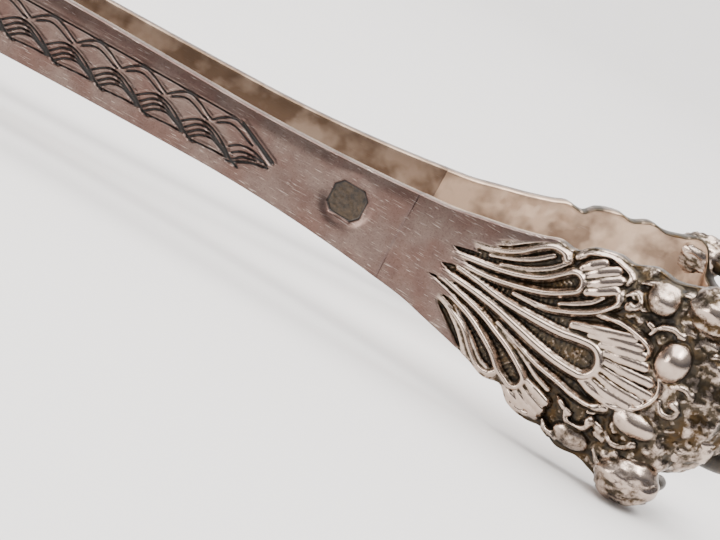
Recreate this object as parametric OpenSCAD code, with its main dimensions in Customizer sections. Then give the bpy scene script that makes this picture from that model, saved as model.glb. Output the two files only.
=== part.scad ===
// Ice tongs: one sprung silver strip bent into a U, with a cast claw soldered to the end of each arm.
// The tongs lie on their side: X runs from the bow to the claws, the arms open along Y, and the height
// of the strip stands along Z. The origin is under the middle of the whole length, on the table.

/* [Overall] */
// Length over the bow and the claw tips
overall_length = 150; // [130:1:190]
// Width across the two arms at the bow, outside to outside
bow_width = 14; // [13:0.5:22]

/* [Strip] */
// Thickness of the strip
strip_t = 2; // [1.4:0.1:2.4]
// Height of the strip round the bow
bow_height = 9.6; // [7:0.1:12]
// Height of the strip at its waist, between the grip and the claw
waist_height = 6.6; // [5:0.1:8]
// Height of the strip where the claw is soldered on
neck_height = 8.4; // [7:0.1:10]
// Distance from the waist to the solder joint
waist_to_neck = 18; // [12:0.5:26]

/* [Flare] */
// Radius of the long outward bend of each arm
flare_r = 230; // [180:5:300]
// Angle by which each arm has turned outward at the end of that bend
flare_angle = 13.5; // [10:0.5:16]

/* [Solder] */
// Thickness of the solder film between the strip and the casting
solder_t = 0.2; // [0.1:0.05:0.4]
// Distance along the arm from the solder joint to the end of the bend
solder_to_bend_end = 6; // [3:0.5:9]

/* [Punch mark] */
// Length of the blank punched recess along the arm
mark_length = 3.4; // [2:0.1:4.5]
// Height of the recess across the arm
mark_height = 3; // [2:0.1:4.5]
// Cut across each corner of the recess
mark_corner = 0.8; // [0.4:0.1:1]
// Depth of the recess
mark_depth = 0.3; // [0.1:0.05:0.5]
// Distance along the arm from the middle of the recess to the solder joint
mark_to_solder = 5.8; // [4:0.1:10]

/* [Claw] */
// Length of the flat palm of the casting, from the end of the bend to the curl
palm_length = 18.8; // [14:0.2:24]
// Height of the casting across the widest part of the palm
palm_height = 18.4; // [15:0.2:22]
// Thickness of the casting's shell
shell_t = 2.2; // [1.6:0.1:3]
// Outside radius of the curl that turns the toes inward
curl_r = 8; // [6.5:0.25:10]
// Angle of that curl
curl_angle = 75; // [60:1:85]

/* [Toes] */
// Radius of the two outer toes
outer_toe_r = 2.4; // [1.8:0.1:2.8]
// Radius of the two inner toes
inner_toe_r = 3; // [2.2:0.1:3.2]
// Radius of the knuckles behind the toes
knuckle_r = 1.7; // [1.3:0.1:2.1]
// Distance of the outer toes from the middle of the claw
outer_toe_z = 8; // [7:0.1:9.5]
// Distance of the inner toes from the middle of the claw
inner_toe_z = 2.8; // [2.4:0.1:3.6]
// Radius of a talon where it leaves its toe
talon_r = 1.6; // [1.1:0.1:2]
// Radius of a talon's blunt point
talon_tip_r = 0.5; // [0.3:0.05:0.8]
// Distance from the middle of the gap between the arms to the talon points, at rest
talon_gap = 10.8; // [8:0.1:13]

/* [Palmette] */
// How far the raised loops stand off the palm
loop_rise = 0.6; // [0.3:0.05:1]
// Width of the raised rim of a loop
loop_rim = 0.5; // [0.3:0.05:0.8]
// Radius of the round end of the middle loop
middle_loop_r = 1.9; // [1.2:0.1:2.2]
// Radius of the round end of each side loop
side_loop_r = 1.5; // [1:0.1:1.8]
// Angle between the middle loop and a side loop
side_loop_angle = 23; // [20:1:28]

/* [Hidden] */

bow_r = bow_width / 2;
centre_z = outer_toe_z + outer_toe_r;

// Distances along an arm are measured on its outer face from the start of the outward bend
flare_length = flare_r * flare_angle * PI / 180;
solder_at = flare_length - solder_to_bend_end;
mark_at = solder_at - mark_to_solder;
curl_at = flare_length + palm_length;
curl_length = curl_r * curl_angle * PI / 180;
toe_end_at = curl_at + curl_length;

// How far the centres of the inner toes hang under the shell
toe_hang = 0.5;

// Toes: [along the face, height from the middle, radius, depth of the centre under the face]
outer_knuckle = [curl_at - 3.6, outer_toe_z - 0.6, knuckle_r, 0.2];
inner_knuckle = [curl_at + 0.6, inner_toe_z + 0.1, knuckle_r, 0.2];
outer_toe = [curl_at + 3.8, outer_toe_z, outer_toe_r, 1.6];
inner_toe = [curl_at + 8, inner_toe_z, inner_toe_r, shell_t + toe_hang];
outer_talon_back = 2.8;
inner_talon_z = inner_toe_z + 1;

// Heading of the outer face, in degrees outward from the X axis
function heading(s) =
    s < 0 ? 0 :
    s < flare_length ? s / flare_r * 180 / PI :
    s < curl_at ? flare_angle :
    flare_angle - (s - curl_at) / curl_r * 180 / PI;

// X from the start of the bend, and the distance of the outer face from the middle plane
function bend_end() = [flare_r * sin(flare_angle), bow_r + flare_r * (1 - cos(flare_angle))];
function palm_end() = bend_end() + palm_length * [cos(flare_angle), sin(flare_angle)];
function face(s) =
    s < 0 ? [s, bow_r] :
    s < flare_length ? [flare_r * sin(heading(s)), bow_r + flare_r * (1 - cos(heading(s)))] :
    s < curl_at ? bend_end() + (s - flare_length) * [cos(flare_angle), sin(flare_angle)] :
    palm_end() + curl_r * [sin(flare_angle) - sin(heading(s)), cos(heading(s)) - cos(flare_angle)];

// A point at a depth under the outer face
function under(s, depth) = face(s) + depth * [sin(heading(s)), -cos(heading(s))];

// The straight grip takes up whatever length the bow, the bend and the claw leave
talon_reach = face(inner_toe[0])[0] + 3.2;
grip_length = overall_length - bow_r - talon_reach - talon_tip_r;
bow_x = bow_r - overall_length / 2;
bend_x = bow_x + grip_length;

// Half of the height of the strip and the casting at a distance x from the start of the bend
neck_x = face(solder_at)[0];
waist_x = neck_x - waist_to_neck;
palm_x = palm_end()[0] - 1;
claw_round = 12;
function half_height(x) =
    x < waist_x ? waist_height / 2
        + (bow_height - waist_height) / 2 * (waist_x - x) / (waist_x + grip_length) :
    x < neck_x ? waist_height / 2
        + (neck_height - waist_height) / 2 * pow((x - waist_x) / waist_to_neck, 2) :
    x < palm_x ? neck_height / 2
        + (palm_height - neck_height) / 2 * pow((x - neck_x) / (palm_x - neck_x), 1.25) :
    palm_height / 2 * sqrt(max(0, 1 - pow((x - palm_x) / claw_round, 2)));

// Evenly spaced stops from a to b
function stops(a, b, n) = [for (i = [0 : n]) a + (b - a) * i / n];

// The band between the outer face and a depth t under it, seen from above the front arm
module band(from, to, t, n) {
    at = stops(from, to, n);
    polygon([for (s = at) [face(s)[0], -face(s)[1]],
             for (i = [n : -1 : 0]) [under(at[i], t)[0], -under(at[i], t)[1]]]);
}

// A stretch of the front arm: its bent profile, trimmed to the outline seen from its outer side
module stretch(from, to, t, n) {
    x_from = face(from)[0] - strip_t;
    x_to = max(face(to)[0], under(to, t)[0]) + strip_t;
    xs = stops(x_from, min(x_to, palm_x + claw_round), 40);
    intersection() {
        linear_extrude(height = 2 * palm_height, center = true) band(from, to, t, n);
        rotate([90, 0, 0])
            linear_extrude(height = 4 * overall_length, center = true)
                polygon([for (x = xs) [x, half_height(x)],
                         for (i = [len(xs) - 1 : -1 : 0]) [xs[i], -half_height(xs[i])]]);
    }
}

// Puts what is drawn at the front arm's start of bend into place
module front() {
    translate([bend_x, 0, centre_z]) children();
}

module rear() {
    mirror([0, 1, 0]) front() children();
}

// Turns a flat drawing so that it lies on the front arm's outer face at s, standing outward
module on_face(s) {
    translate([face(s)[0], -face(s)[1], 0]) rotate([0, 0, -heading(s)]) rotate([90, 0, 0]) children();
}

// A round rod or cone between two points
module rod(a, b, r_a, r_b) {
    d = b - a;
    translate(a)
        rotate([0, acos(d[2] / norm(d)), atan2(d[1], d[0])])
            cylinder(h = norm(d), r1 = r_a, r2 = r_b, $fn = 48);
}

// Centre of a knuckle or a toe on the front claw, on the side given by the sign
function toe_centre(toe, side) =
    [under(toe[0], toe[3])[0], -under(toe[0], toe[3])[1], side * toe[1]];

// A toe: its knuckle, its ball, turned so that the ball closes in the hollow of the claw, and its talon
module toe(knuckle, ball, tip, side) {
    translate(toe_centre(knuckle, side)) sphere(r = knuckle[2], $fn = 48);
    translate(toe_centre(ball, side)) rotate([0, 0, 100]) sphere(r = ball[2], $fn = 48);
    rod(toe_centre(ball, side), tip, talon_r, 0.96 * talon_tip_r);
    translate(tip) sphere(r = talon_tip_r, $fn = 48);
}

// Outline of a loop: a small round start and a large round end, joined by tangents
function loop_points(length, r_end, r_start) =
    let (tilt = asin((r_end - r_start) / length), n = 16)
    [for (i = [0 : n]) let (a = -90 - tilt + (180 + 2 * tilt) * i / n)
         [length + r_end * cos(a), r_end * sin(a)],
     for (i = [0 : n]) let (a = 90 + tilt + (180 - 2 * tilt) * i / n)
         [r_start * cos(a), r_start * sin(a)]];

module loop(length, r_end) {
    r_start = loop_rim + 0.1;
    linear_extrude(height = loop_rise + shell_t / 2)
        difference() {
            polygon(loop_points(length, r_end, r_start));
            translate([loop_rim, 0])
                polygon(loop_points(length - loop_rim, r_end - loop_rim, 0.1));
        }
}

// Three raised loops that spread from the neck across the palm
module palmette() {
    middle_length = palm_length - middle_loop_r - 2;
    side_length = 0.68 * palm_length - side_loop_r;
    on_face(flare_length) translate([0, 0, -shell_t / 2]) {
        loop(middle_length, middle_loop_r);
        for (side = [-1, 1])
            translate([0.6, side * 1.6, 0]) rotate(side * side_loop_angle)
                loop(side_length, side_loop_r);
    }
}

module claw() {
    stretch(solder_at + solder_t, toe_end_at, shell_t, 60);
    palmette();
    for (side = [-1, 1]) {
        toe(outer_knuckle, outer_toe,
            [talon_reach - outer_talon_back, -talon_gap, side * outer_toe_z], side);
        toe(inner_knuckle, inner_toe, [talon_reach, -talon_gap, side * inner_talon_z], side);
    }
}

module arm() {
    stretch(-grip_length, solder_at, strip_t, 40);
}

// The blank octagonal punch: a rectangle with its corners cut
module punch() {
    l = mark_length / 2;
    h = mark_height / 2;
    c = mark_corner;
    on_face(mark_at) translate([0, 0, -mark_depth])
        linear_extrude(height = 2 * mark_depth)
            polygon([[-l + c, -h], [l - c, -h], [l, -h + c], [l, h - c],
                     [l - c, h], [-l + c, h], [-l, h - c], [-l, -h + c]]);
}

module spring_bow() {
    color("silver")
        translate([bow_x, 0, centre_z - bow_height / 2])
            rotate([0, 0, 90]) rotate_extrude(angle = 180, $fn = 96)
                translate([bow_r - strip_t, 0]) square([strip_t, bow_height]);
}

module front_arm() {
    color("silver") front() difference() {
        arm();
        punch();
    }
}

module rear_arm() {
    color("silver") rear() arm();
}

module front_solder_seam() {
    color("gainsboro") front() stretch(solder_at, solder_at + solder_t, strip_t, 1);
}

module rear_solder_seam() {
    color("gainsboro") rear() stretch(solder_at, solder_at + solder_t, strip_t, 1);
}

module front_claw() {
    color("darkgray") front() claw();
}

module rear_claw() {
    color("darkgray") rear() claw();
}

spring_bow();
front_arm();
rear_arm();
front_solder_seam();
rear_solder_seam();
front_claw();
rear_claw();
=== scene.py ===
# %% [markdown]
# # A pair of old silver ice tongs
# The real thing is one rolled strip of silver bent into a spring, with a cast lion's paw soldered to
# each end. Every size below is in millimetres and is turned into metres only when a mesh is made.
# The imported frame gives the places: the bow, the solder joints and the claws are where it says.

# %% Load the frame
import math

import bpy
import numpy as np
from mathutils import Matrix, Vector


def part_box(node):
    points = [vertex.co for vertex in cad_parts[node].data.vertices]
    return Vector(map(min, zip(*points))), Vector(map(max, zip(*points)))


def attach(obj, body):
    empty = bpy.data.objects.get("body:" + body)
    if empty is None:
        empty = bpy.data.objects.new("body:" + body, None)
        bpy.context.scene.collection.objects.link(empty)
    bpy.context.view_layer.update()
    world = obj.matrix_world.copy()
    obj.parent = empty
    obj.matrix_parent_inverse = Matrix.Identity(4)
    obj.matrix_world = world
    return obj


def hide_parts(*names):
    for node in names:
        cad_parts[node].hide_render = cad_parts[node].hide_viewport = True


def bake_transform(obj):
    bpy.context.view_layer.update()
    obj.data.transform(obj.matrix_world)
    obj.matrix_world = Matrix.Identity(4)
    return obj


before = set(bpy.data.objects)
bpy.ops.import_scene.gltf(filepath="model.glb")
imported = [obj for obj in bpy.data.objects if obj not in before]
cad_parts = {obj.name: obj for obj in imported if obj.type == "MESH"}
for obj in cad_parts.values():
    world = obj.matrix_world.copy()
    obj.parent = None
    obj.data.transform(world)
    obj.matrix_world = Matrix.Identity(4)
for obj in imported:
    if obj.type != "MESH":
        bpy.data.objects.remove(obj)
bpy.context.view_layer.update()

MM = 0.001


# %% [markdown]
# ## The path of one arm
# A strip is easiest to build along the path that it was bent to. The distance s runs along the outer
# face: round the bow, straight through the grip, out along a long gentle bend, straight through the
# palm of the claw and then round a tight curl. A formula for the heading at each s keeps every piece,
# strip or casting, on the same smooth path, where separate curves would meet with small steps.

# %% The path as formulas
BOW = [np.array(corner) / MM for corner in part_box("spring_bow")]
SEAM = [np.array(corner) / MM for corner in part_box("front_solder_seam")]
BOW_R = BOW[1][1]
BOW_X = BOW[1][0]
MID_Z = (BOW[0][2] + BOW[1][2]) / 2
STRIP_T = 2.0
FLARE_R = 230.0
FLARE = math.radians(13.5)
PALM = 18.8
CURL_R = 8.0
CURL = math.radians(75)
SOLDER_BACK = 6.0
SEAM_T = 0.2

FLARE_END = FLARE_R * FLARE
SOLDER_S = FLARE_END - SOLDER_BACK
CURL_S = FLARE_END + PALM
TOE_S = CURL_S + CURL_R * CURL
BEND_X = SEAM[0][0] - FLARE_R * math.sin(SOLDER_S / FLARE_R)
GRIP = BEND_X - BOW_X
APEX_S = -GRIP - BOW_R * math.pi / 2


def heading(s):
    """The angle in radians by which the path has turned outward at a distance s."""
    on_bow = (-GRIP - s) / BOW_R
    on_curl = FLARE - (s - CURL_S) / CURL_R
    return np.select([s < -GRIP, s < 0, s < FLARE_END, s < CURL_S],
                     [on_bow, 0.0, s / FLARE_R, FLARE], on_curl)


def path(s):
    """X in the row frame and distance from the middle plane, in mm, of the outer face at s."""
    h = heading(s)
    bend_d = BOW_R + FLARE_R * (1 - math.cos(FLARE))
    bend_x = BEND_X + FLARE_R * math.sin(FLARE)
    palm_x = bend_x + PALM * math.cos(FLARE)
    palm_d = bend_d + PALM * math.sin(FLARE)
    where = [s < -GRIP, s < 0, s < FLARE_END, s < CURL_S]
    x = np.select(where, [BOW_X - BOW_R * np.sin(h), BEND_X + s, BEND_X + FLARE_R * np.sin(h),
                          bend_x + (s - FLARE_END) * math.cos(FLARE)],
                  palm_x + CURL_R * (math.sin(FLARE) - np.sin(h)))
    d = np.select(where, [BOW_R * np.cos(h), BOW_R, BOW_R + FLARE_R * (1 - np.cos(h)),
                          bend_d + (s - FLARE_END) * math.sin(FLARE)],
                  palm_d + CURL_R * (np.cos(h) - math.cos(FLARE)))
    return x, d


def place(s, z, lift, side):
    """Points in mm in the row frame: at s along the arm, z above its middle line, lift off its face.
    side is -1 for the front arm and 1 for the rear arm."""
    s, z, lift = np.broadcast_arrays(np.asarray(s, float), z, lift)
    x, d = path(s)
    h = heading(s)
    return np.stack([x - lift * np.sin(h), side * (d + lift * np.cos(h)), MID_Z + z], axis=-1)


print(f"grip {GRIP:.2f} mm, solder joint at {SOLDER_S:.2f} mm, toes end at {TOE_S:.2f} mm")


# %% [markdown]
# ## Meshes as rings
# Each piece is a tube of closed rings, like the frames of a boat's hull. A ring has an outer face,
# two rounded edges and an inner face. Where the real surface has cuts or relief, the rings and the
# points on them lie close together, so the relief is in the mesh and not only in the shading.

# %% Rings into a mesh
def mesh_object(name, points, faces, marks):
    """A smooth mesh from points in mm, with named values for each point."""
    mesh = bpy.data.meshes.new(name)
    mesh.from_pydata((points * MM).tolist(), [], faces)
    for mark, values in marks.items():
        if values.ndim == 2:
            mesh.attributes.new(mark, "FLOAT_VECTOR", "POINT").data.foreach_set("vector", values.ravel())
        else:
            mesh.attributes.new(mark, "FLOAT", "POINT").data.foreach_set("value", values)
    mesh.polygons.foreach_set("use_smooth", [True] * len(mesh.polygons))
    mesh.set_sharp_from_angle(angle=math.radians(62))
    mesh.update()
    made = bpy.data.objects.new(name, mesh)
    bpy.context.scene.collection.objects.link(made)
    return made


def tube_faces(rows, columns, flip):
    """Quads between closed rings, and one cap at each end."""
    r, c = np.meshgrid(np.arange(rows - 1), np.arange(columns), indexing="ij")
    after = (c + 1) % columns
    quads = np.stack([r * columns + c, r * columns + after,
                      (r + 1) * columns + after, (r + 1) * columns + c], axis=-1).reshape(-1, 4)
    first = list(range(columns))[::-1]
    last = [(rows - 1) * columns + i for i in range(columns)]
    faces = quads.tolist() + [first, last]
    return [face[::-1] for face in faces] if flip else faces


def section(half, dense, fine, edge_r, coarse):
    """Heights of the outer face's points, from -1 to 1 side to side for half heights 'half'.
    Points within 'dense' mm of the middle line keep a fixed spacing 'fine'."""
    middle = np.arange(-dense, dense + fine / 2, fine)
    share = np.linspace(0, 1, coarse + 1)[1:]
    outside = dense + share[None, :] * (half[:, None] - edge_r - dense)
    return np.concatenate([-outside[:, ::-1], np.tile(middle, (len(half), 1)), outside], axis=1)


def ring_tube(name, s, outer_z, lift, inner_lift, edge_r, side, marks, back_grime=0.0):
    """A tube of rings. lift and inner_lift are heights off the path's face at each outer point."""
    corner = np.linspace(0, math.pi / 2, 6)[1:-1]
    top = outer_z[:, -1:]
    bottom = outer_z[:, :1]
    outer_edge = lift[:, -1:] - edge_r * (1 - np.cos(corner))
    outer_low = lift[:, :1] - edge_r * (1 - np.cos(corner[::-1]))
    inner_edge = inner_lift[:, -1:] + edge_r * (1 - np.sin(corner))
    inner_low = inner_lift[:, :1] + edge_r * (1 - np.sin(corner[::-1]))
    swell = edge_r * np.sin(corner)
    shrink = edge_r * np.cos(corner)
    thin = slice(None, None, -4)
    z = np.concatenate([outer_z, top + swell, top + shrink, outer_z[:, thin],
                        bottom - shrink[::-1], bottom - swell[::-1]], axis=1)
    high = np.concatenate([lift, outer_edge, inner_edge, inner_lift[:, thin],
                           inner_low, outer_low], axis=1)
    points = place(s[:, None], z, high, side)
    rows, columns = z.shape
    full = {}
    for mark, values in marks.items():
        last = np.repeat(values[:, -1:], 2 * len(corner), axis=1)
        first = np.repeat(values[:, :1], 2 * len(corner), axis=1)
        behind = np.full(outer_z[:, thin].shape, back_grime) if mark == "grime_and_shade" else values[:, thin]
        full[mark] = np.concatenate([values, last, behind, first], axis=1).ravel()
    inside = np.zeros(z.shape)
    inside[:, outer_z.shape[1] + len(corner):-len(corner)] = 1.0
    full["inside"] = inside.ravel()
    along = np.broadcast_to(s[:, None], z.shape)
    full["run_mm"] = np.stack([along, z, high], axis=-1).reshape(-1, 3)
    flip = side > 0
    return mesh_object(name, points.reshape(-1, 3), tube_faces(rows, columns, flip), full)


# %% [markdown]
# ## Drawing on metal with strokes
# Engraved cuts and chased beads are both strokes: a line with a width and a depth. A stroke is a
# smooth curve through a few given points. Each grid point asks how far the line is and
# moves down into a V for a cut, or up on a half round for a bead. Sculpting could do the same, but
# strokes stay exact and can be changed by moving one point.

# %% Curves, distances and soft noise
def curve(points, steps=10):
    """A smooth curve through given points (Catmull-Rom)."""
    points = np.asarray(points, float)
    full = np.vstack([2 * points[0] - points[1], points, 2 * points[-1] - points[-2]])
    t = np.linspace(0, 1, steps, endpoint=False)[:, None]
    spans = []
    for a, b, c, d in zip(full, full[1:], full[2:], full[3:]):
        spans.append(b + 0.5 * (c - a) * t + (a - 2.5 * b + 2 * c - 0.5 * d) * t**2
                     + 0.5 * (3 * b - a - 3 * c + d) * t**3)
    return np.vstack(spans + [points[-1:]])


def near(grid, line, reach):
    """For the grid points within reach of the line's box: their mask, their distance from the line
    and the length run along the line to the nearest spot."""
    along, across = grid
    low = line.min(axis=0) - reach
    high = line.max(axis=0) + reach
    mask = (along > low[0]) & (along < high[0]) & (across > low[1]) & (across < high[1])
    spots = np.stack([along[mask], across[mask]], axis=-1)
    distance = np.full(len(spots), np.inf)
    run = np.zeros(len(spots))
    length = 0.0
    for a, b in zip(line, line[1:]):
        span = b - a
        size = math.hypot(*span)
        share = np.clip(((spots - a) @ span) / max(size**2, 1e-12), 0, 1)
        off = np.hypot(*(spots - a - share[:, None] * span).T)
        closer = off < distance
        distance[closer] = off[closer]
        run[closer] = length + share[closer] * size
        length += size
    return mask, distance, run / max(length, 1e-9), length


def soft_step(x):
    x = np.clip(x, 0, 1)
    return x * x * (3 - 2 * x)


def rough(grid, size, seed):
    """Soft lumpy noise from -1 to 1, with lumps of about 'size' mm."""
    table = np.random.default_rng(seed).uniform(-1, 1, (256, 256))
    u = grid[0] / size + 97
    v = grid[1] / size + 61
    i = np.floor(u).astype(int)
    j = np.floor(v).astype(int)
    a = soft_step(u - i)
    b = soft_step(v - j)
    i0, i1, j0, j1 = i % 256, (i + 1) % 256, j % 256, (j + 1) % 256
    return ((1 - a) * ((1 - b) * table[i0, j0] + b * table[i0, j1])
            + a * ((1 - b) * table[i1, j0] + b * table[i1, j1]))


def cut(relief, grime_and_shade, grid, points, half_width=0.125, depth=0.14, burr=0.06):
    """A V cut by a graver: sharp below, with a burr thrown up at each lip."""
    mask, off, share, _ = near(grid, curve(points), 4 * half_width)
    taper = np.clip(np.minimum(share, 1 - share) * 9 + 0.7, 0, 1)
    wide = half_width * taper
    groove = -depth * taper * np.clip(1 - off / wide, 0, 1)
    lip = burr * taper * np.exp(-((off - 1.6 * wide) / 0.1)**2)
    relief[mask] = np.minimum(relief[mask] + lip * (relief[mask] > -0.03), np.where(off < wide, groove, 9))
    dirt = np.clip(1.2 - 1.1 * off / wide, 0, 1)
    grime_and_shade[mask] = np.maximum(grime_and_shade[mask], dirt * taper)


# %% [markdown]
# ## The rolled strip
# The strip is widest at the bow, narrows to a waist and widens again to meet the casting. Its outer
# face rolls off gently towards both edges, from years of polishing, and that roll is what draws the
# bright line and the cool grey band along the upper edge. A bevel on a box would be too sharp, so
# the roll is a curve over the last millimetre and a half. The torch's heat is kept here as a value
# on the mesh, and the material reads it.

# %% Width and roll of the strip
WAIST_HALF = 3.3
BOW_HALF = (BOW[1][2] - BOW[0][2]) / 2
NECK_HALF = 4.2
WAIST_TO_NECK = 18.0
EDGE_R = 0.22
ROLL_WIDTH = 1.5
ROLL_DROP = 0.28
HEAT_BAND = 0.75

neck_x = path(np.array([SOLDER_S]))[0][0]
waist_x = neck_x - WAIST_TO_NECK


def strip_half(s):
    """Half of the strip's height at s."""
    x = np.where(s < -GRIP, BOW_X, path(s)[0])
    before = WAIST_HALF + (BOW_HALF - WAIST_HALF) * (waist_x - x) / (waist_x - BOW_X)
    after = WAIST_HALF + (NECK_HALF - WAIST_HALF) * ((x - waist_x) / WAIST_TO_NECK)**2
    return np.where(x < waist_x, before, after)


def roll(z, half):
    """How far the outer face has rolled off at a height z."""
    return -ROLL_DROP * np.clip((np.abs(z) - half + ROLL_WIDTH) / ROLL_WIDTH, 0, 1)**2


def worn(grid):
    """The slight waves of hand polishing. They run on unbroken over the solder joint."""
    return 0.012 * rough(grid, 3.1, 11) + 0.006 * rough(grid, 0.9, 12)


def heat(s, z):
    """How much the torch has greyed the metal: 1 at the solder joint, and less below its top."""
    wander = 0.16 * rough((z, z), 1.3, 8)
    near_joint = np.exp(-((s[:, None] - SOLDER_S - SEAM_T / 2 - wander) / HEAT_BAND)**2)
    return near_joint * (1 - 0.6 * soft_step((z - 0.5) / 3))


# %% [markdown]
# ## The engraved panel
# A ruled border holds a chain of waves. The lower strand is a bundle of four S-shaped cuts that
# open out over each crest and run together into one steep cut; the upper strand is a pair of cuts.
# Plain lens-shaped cells are left between. One wave is drawn here and repeated along the arm. The
# far end of the panel is closed by the same pointed chevron.

# %% One wave, repeated
WAVE = 4.8
WAVES = 10
PANEL_HALF = 1.86
LAST_WAVE = -22.35
STRANDS = [
    [(-5.95, -1.0), (-5.4, -0.52), (-4.78, -0.09), (-4.2, 0.1), (-3.68, 0.12), (-3.1, 0.02),
     (-2.47, -0.21), (-1.33, -0.78), (-0.26, -1.59), (0.79, -2.0)],
    [(-5.35, -1.25), (-4.85, -0.8), (-4.38, -0.43), (-3.8, -0.25), (-3.26, -0.25), (-2.7, -0.42),
     (-2.21, -0.67), (-1.24, -1.13), (-0.8, -1.4)],
    [(-4.95, -1.55), (-4.4, -1.08), (-3.99, -0.76), (-3.4, -0.6), (-2.85, -0.62), (-2.3, -0.78),
     (-1.84, -0.96), (-1.03, -1.32), (-0.6, -1.55)],
    [(-4.5, -1.75), (-4.05, -1.38), (-3.6, -1.09), (-3.0, -0.93), (-2.47, -0.92), (-2.0, -1.05),
     (-1.47, -1.26), (-0.9, -1.48), (-0.4, -1.7)],
    [(-4.1, -1.9), (-2.3, -1.76), (-0.5, -1.7)],
    [(-3.27, 0.65), (-2.9, 0.98), (-2.51, 1.28), (-2.1, 1.52), (-1.74, 1.65), (-1.2, 1.7), (-0.71, 1.6),
     (-0.1, 1.4), (0.39, 1.16), (1.0, 0.85), (1.53, 0.65)],
    [(-2.8, 0.62), (-2.4, 0.86), (-1.9, 1.08), (-1.4, 1.16), (-0.95, 1.1), (-0.45, 0.95), (0, 0.77),
     (0.6, 0.55), (1.2, 0.45)],
]
STEEP = [(-1.6, -0.65), (-1.0, -1.05), (-0.35, -1.52), (0.25, -1.85), (0.8, -2.0)]
LAST_CELL = [
    [(-0.9, -0.72), (0, -0.13), (1.3, 0.03), (2.5, -0.28), (3.2, -0.55)],
    [(-0.4, -1.1), (0.45, -0.56), (1.8, -0.4), (2.7, -0.42)],
    [(0, -1.55), (0.8, -0.92), (2.1, -0.62)],
]
CHEVRON = [
    [(-0.7, 1.86), (0.9, 1.16), (3.65, -0.06)],
    [(-0.55, 1.72), (0.95, 0.98), (3.5, -0.22)],
    [(-0.65, -1.9), (-0.1, -1.83), (1.55, -1.07), (3.35, -0.66)],
]


def engrave(relief, grime_and_shade, grid):
    """Cuts the panel into an arm's outer face; grid is measured past the end of the bend."""
    for wave in range(WAVES):
        start = LAST_WAVE - wave * WAVE
        for strand in STRANDS:
            cut(relief, grime_and_shade, grid, [(start + e, z) for e, z in strand])
        cut(relief, grime_and_shade, grid, [(start + e, z) for e, z in STEEP], half_width=0.165, depth=0.17)
    for strand in LAST_CELL:
        cut(relief, grime_and_shade, grid, [(LAST_WAVE + e, z) for e, z in strand])
    last = LAST_WAVE - 0.6
    first = LAST_WAVE - WAVES * WAVE + 0.6
    middle = (last + first) / 2
    cut(relief, grime_and_shade, grid, [(first, PANEL_HALF), (middle, PANEL_HALF), (last, PANEL_HALF)])
    for stroke in CHEVRON:
        near_end = [(LAST_WAVE + e, z) for e, z in stroke]
        far_end = [(2 * middle - x, z) for x, z in near_end]
        cut(relief, grime_and_shade, grid, near_end, half_width=0.165, depth=0.17)
        cut(relief, grime_and_shade, grid, far_end, half_width=0.165, depth=0.17)


# %% [markdown]
# ## The punched mark
# A guarantee punch leaves an eight-sided recess, and the blow pushes the metal round it into a
# shallow dish whose far lip catches the light. The floor is left blank and rough, full of old
# tarnish. The recess belongs to the front arm only.

# %% Recess and dish
MARK_AT = (-11.35, 0.35)
MARK_HALF = (1.7, 1.5)
MARK_CORNER = 0.66
MARK_DEPTH = 0.3
DISH_DEPTH = 0.4
DISH_WIDTH = 0.7


def punch(relief, grime_and_shade, grid):
    """Strikes the mark into an arm's outer face. Returns 1 on the recess floor and 0 elsewhere."""
    u = np.abs(grid[0] - MARK_AT[0])
    v = np.abs(grid[1] - MARK_AT[1])
    square = np.maximum(u - MARK_HALF[0], v - MARK_HALF[1])
    cut_corner = (u + v - MARK_HALF[0] - MARK_HALF[1] + MARK_CORNER) / math.sqrt(2)
    outside = np.maximum(square, cut_corner)
    beyond = np.clip(np.hypot(u, 1.1 * v) - MARK_HALF[0] + 0.1, 0, None)
    dish = -DISH_DEPTH * np.exp(-(beyond / DISH_WIDTH)**2)
    floor = -MARK_DEPTH - 0.22 + 0.02 * rough(grid, 0.3, 5) + 0.012 * rough(grid, 0.14, 6)
    inside = soft_step(0.5 - outside / 0.16)
    relief += dish * (1 - inside) + floor * inside
    rim = 0.85 * np.exp(-((outside + 0.05) / 0.08)**2)
    grime_and_shade[:] = np.maximum(grime_and_shade, rim)
    return inside


# %% [markdown]
# ## Two halves of one strip
# The strip flexes at its bow, so the mesh is cut at the middle of the bow, where neither arm moves
# it. Each half is one unbroken mesh from there to the solder joint, built round the bow and along
# its own arm. Rings stand close in the panel
# and round the mark, and further apart where the strip is plain.

# %% Build the strip
def stations(spans):
    """Distances along the arm, from (start, end, spacing) spans that follow each other."""
    runs = [np.linspace(a, b, max(2, round((b - a) / step) + 1))[:-1] for a, b, step in spans]
    return np.concatenate(runs + [[spans[-1][1]]])


PANEL_FROM = FLARE_END + LAST_WAVE - WAVES * WAVE - 3.6
PANEL_TO = FLARE_END + LAST_WAVE + 4.0
MARK_FROM = FLARE_END + MARK_AT[0] - 2.9
MARK_TO = FLARE_END + MARK_AT[0] + 2.9


def build_strip(name, side):
    s = stations([(APEX_S, -GRIP, 0.3), (-GRIP, PANEL_FROM, 1.2), (PANEL_FROM, PANEL_TO, 0.08),
                  (PANEL_TO, MARK_FROM, 0.5), (MARK_FROM, MARK_TO, 0.08), (MARK_TO, SOLDER_S, 0.4)])
    half = strip_half(s)
    z = section(half, dense=2.2, fine=0.08, edge_r=EDGE_R, coarse=10)
    grid = (np.broadcast_to((s - FLARE_END)[:, None], z.shape), z)
    relief = np.zeros(z.shape)
    grime_and_shade = np.zeros(z.shape)
    engrave(relief, grime_and_shade, grid)
    patina = np.zeros(z.shape)
    if side < 0:
        patina = punch(relief, grime_and_shade, grid)
    lift = relief + worn(grid) + roll(z, half[:, None])
    inner = np.full(z.shape, -STRIP_T) - 0.3 * roll(z, half[:, None])
    marks = {"grime_and_shade": grime_and_shade, "patina": patina, "heat": heat(s, z)}
    return ring_tube(name, s, z, lift, inner, EDGE_R, side, marks)


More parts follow.
